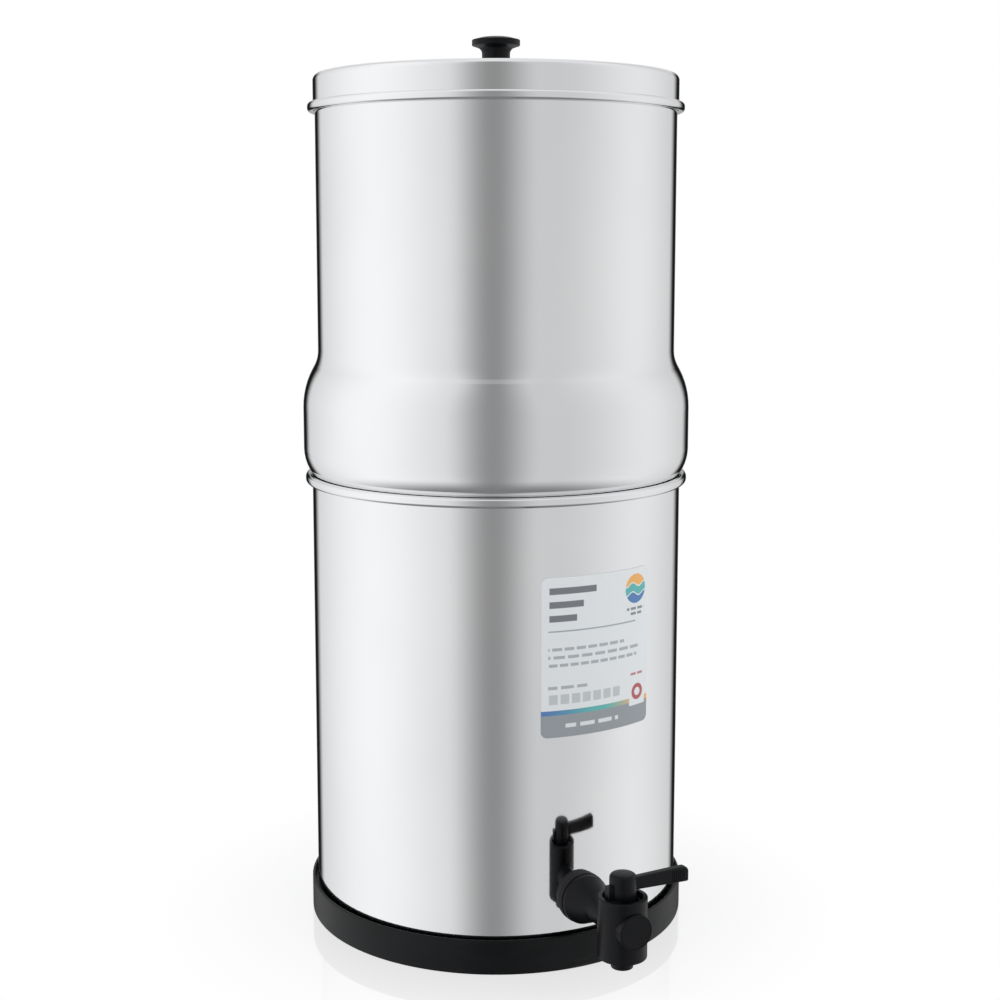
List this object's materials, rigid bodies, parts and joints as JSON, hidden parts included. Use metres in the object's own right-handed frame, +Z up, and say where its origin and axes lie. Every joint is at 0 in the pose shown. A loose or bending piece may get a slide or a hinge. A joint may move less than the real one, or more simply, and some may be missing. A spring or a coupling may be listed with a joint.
{
  "type": "gravity water filter with tap",
  "caption": "Stacked steel gravity water filter: knobbed lid, bulged upper chamber with ceramic candles, lower chamber on a rubber ring, quarter-turn lever tap",
  "frame": {"origin": "Centre of the base ring's underside, on the surface that the filter stands on", "axes": "+Z is up along the chambers' common axis; the tap points along -Y; the closed lever points along +X"},
  "size_m": [0.2246, 0.2787, 0.5118],
  "materials": {
    "steel_body": "bright, softly brushed round the body",
    "zinc_steel": "plain stainless hardware",
    "rubber_base": "black satin rubber",
    "black_rubber": "black seal rubber",
    "black_plastic": "black moulded plastic",
    "white_plastic": "white food-grade plastic",
    "ceramic": "unglazed porous ceramic",
    "label_print": null
  },
  "bodies": {
    "base": {"lower_chamber": "steel_body", "base_ring": "rubber_base", "label": "label_print", "tap_body": "black_plastic", "tap_outer_washer": "black_rubber", "tap_inner_washer": "black_rubber", "tap_back_nut": "black_plastic", "tap_front_plate": "black_plastic", "tap_bonnet_ring": "black_plastic"},
    "upper": {"upper_chamber": "steel_body", "candle_1_ceramic": "ceramic", "candle_1_mount": "white_plastic", "candle_2_ceramic": "ceramic", "candle_2_mount": "white_plastic", "candle_washers": "black_rubber", "candle_wing_nuts": "white_plastic", "blanking_plugs": "white_plastic", "blanking_washers": "black_rubber", "blanking_nuts": "white_plastic"},
    "lid": {"lid_shell": "steel_body", "lid_knob": "black_plastic", "knob_washer": "zinc_steel", "knob_screw": "zinc_steel"},
    "valve": {"tap_valve_plug": "white_plastic", "tap_plug_seals": "black_rubber", "tap_handle": "black_plastic"}
  },
  "joints": [
    {"name": "upper_lift", "type": "slide", "parent": "base", "child": "upper", "axis": [0, 0, 1], "range_m": [0, 0.12]},
    {"name": "lid_lift", "type": "slide", "parent": "upper", "child": "lid", "axis": [0, 0, 1], "range_m": [0, 0.12]},
    {"name": "tap_turn", "type": "hinge", "parent": "base", "child": "valve", "pos_m": [0, -0.152, 0.0394], "axis": [0, 0, 1], "range_deg": [-90, 0]}
  ]
}
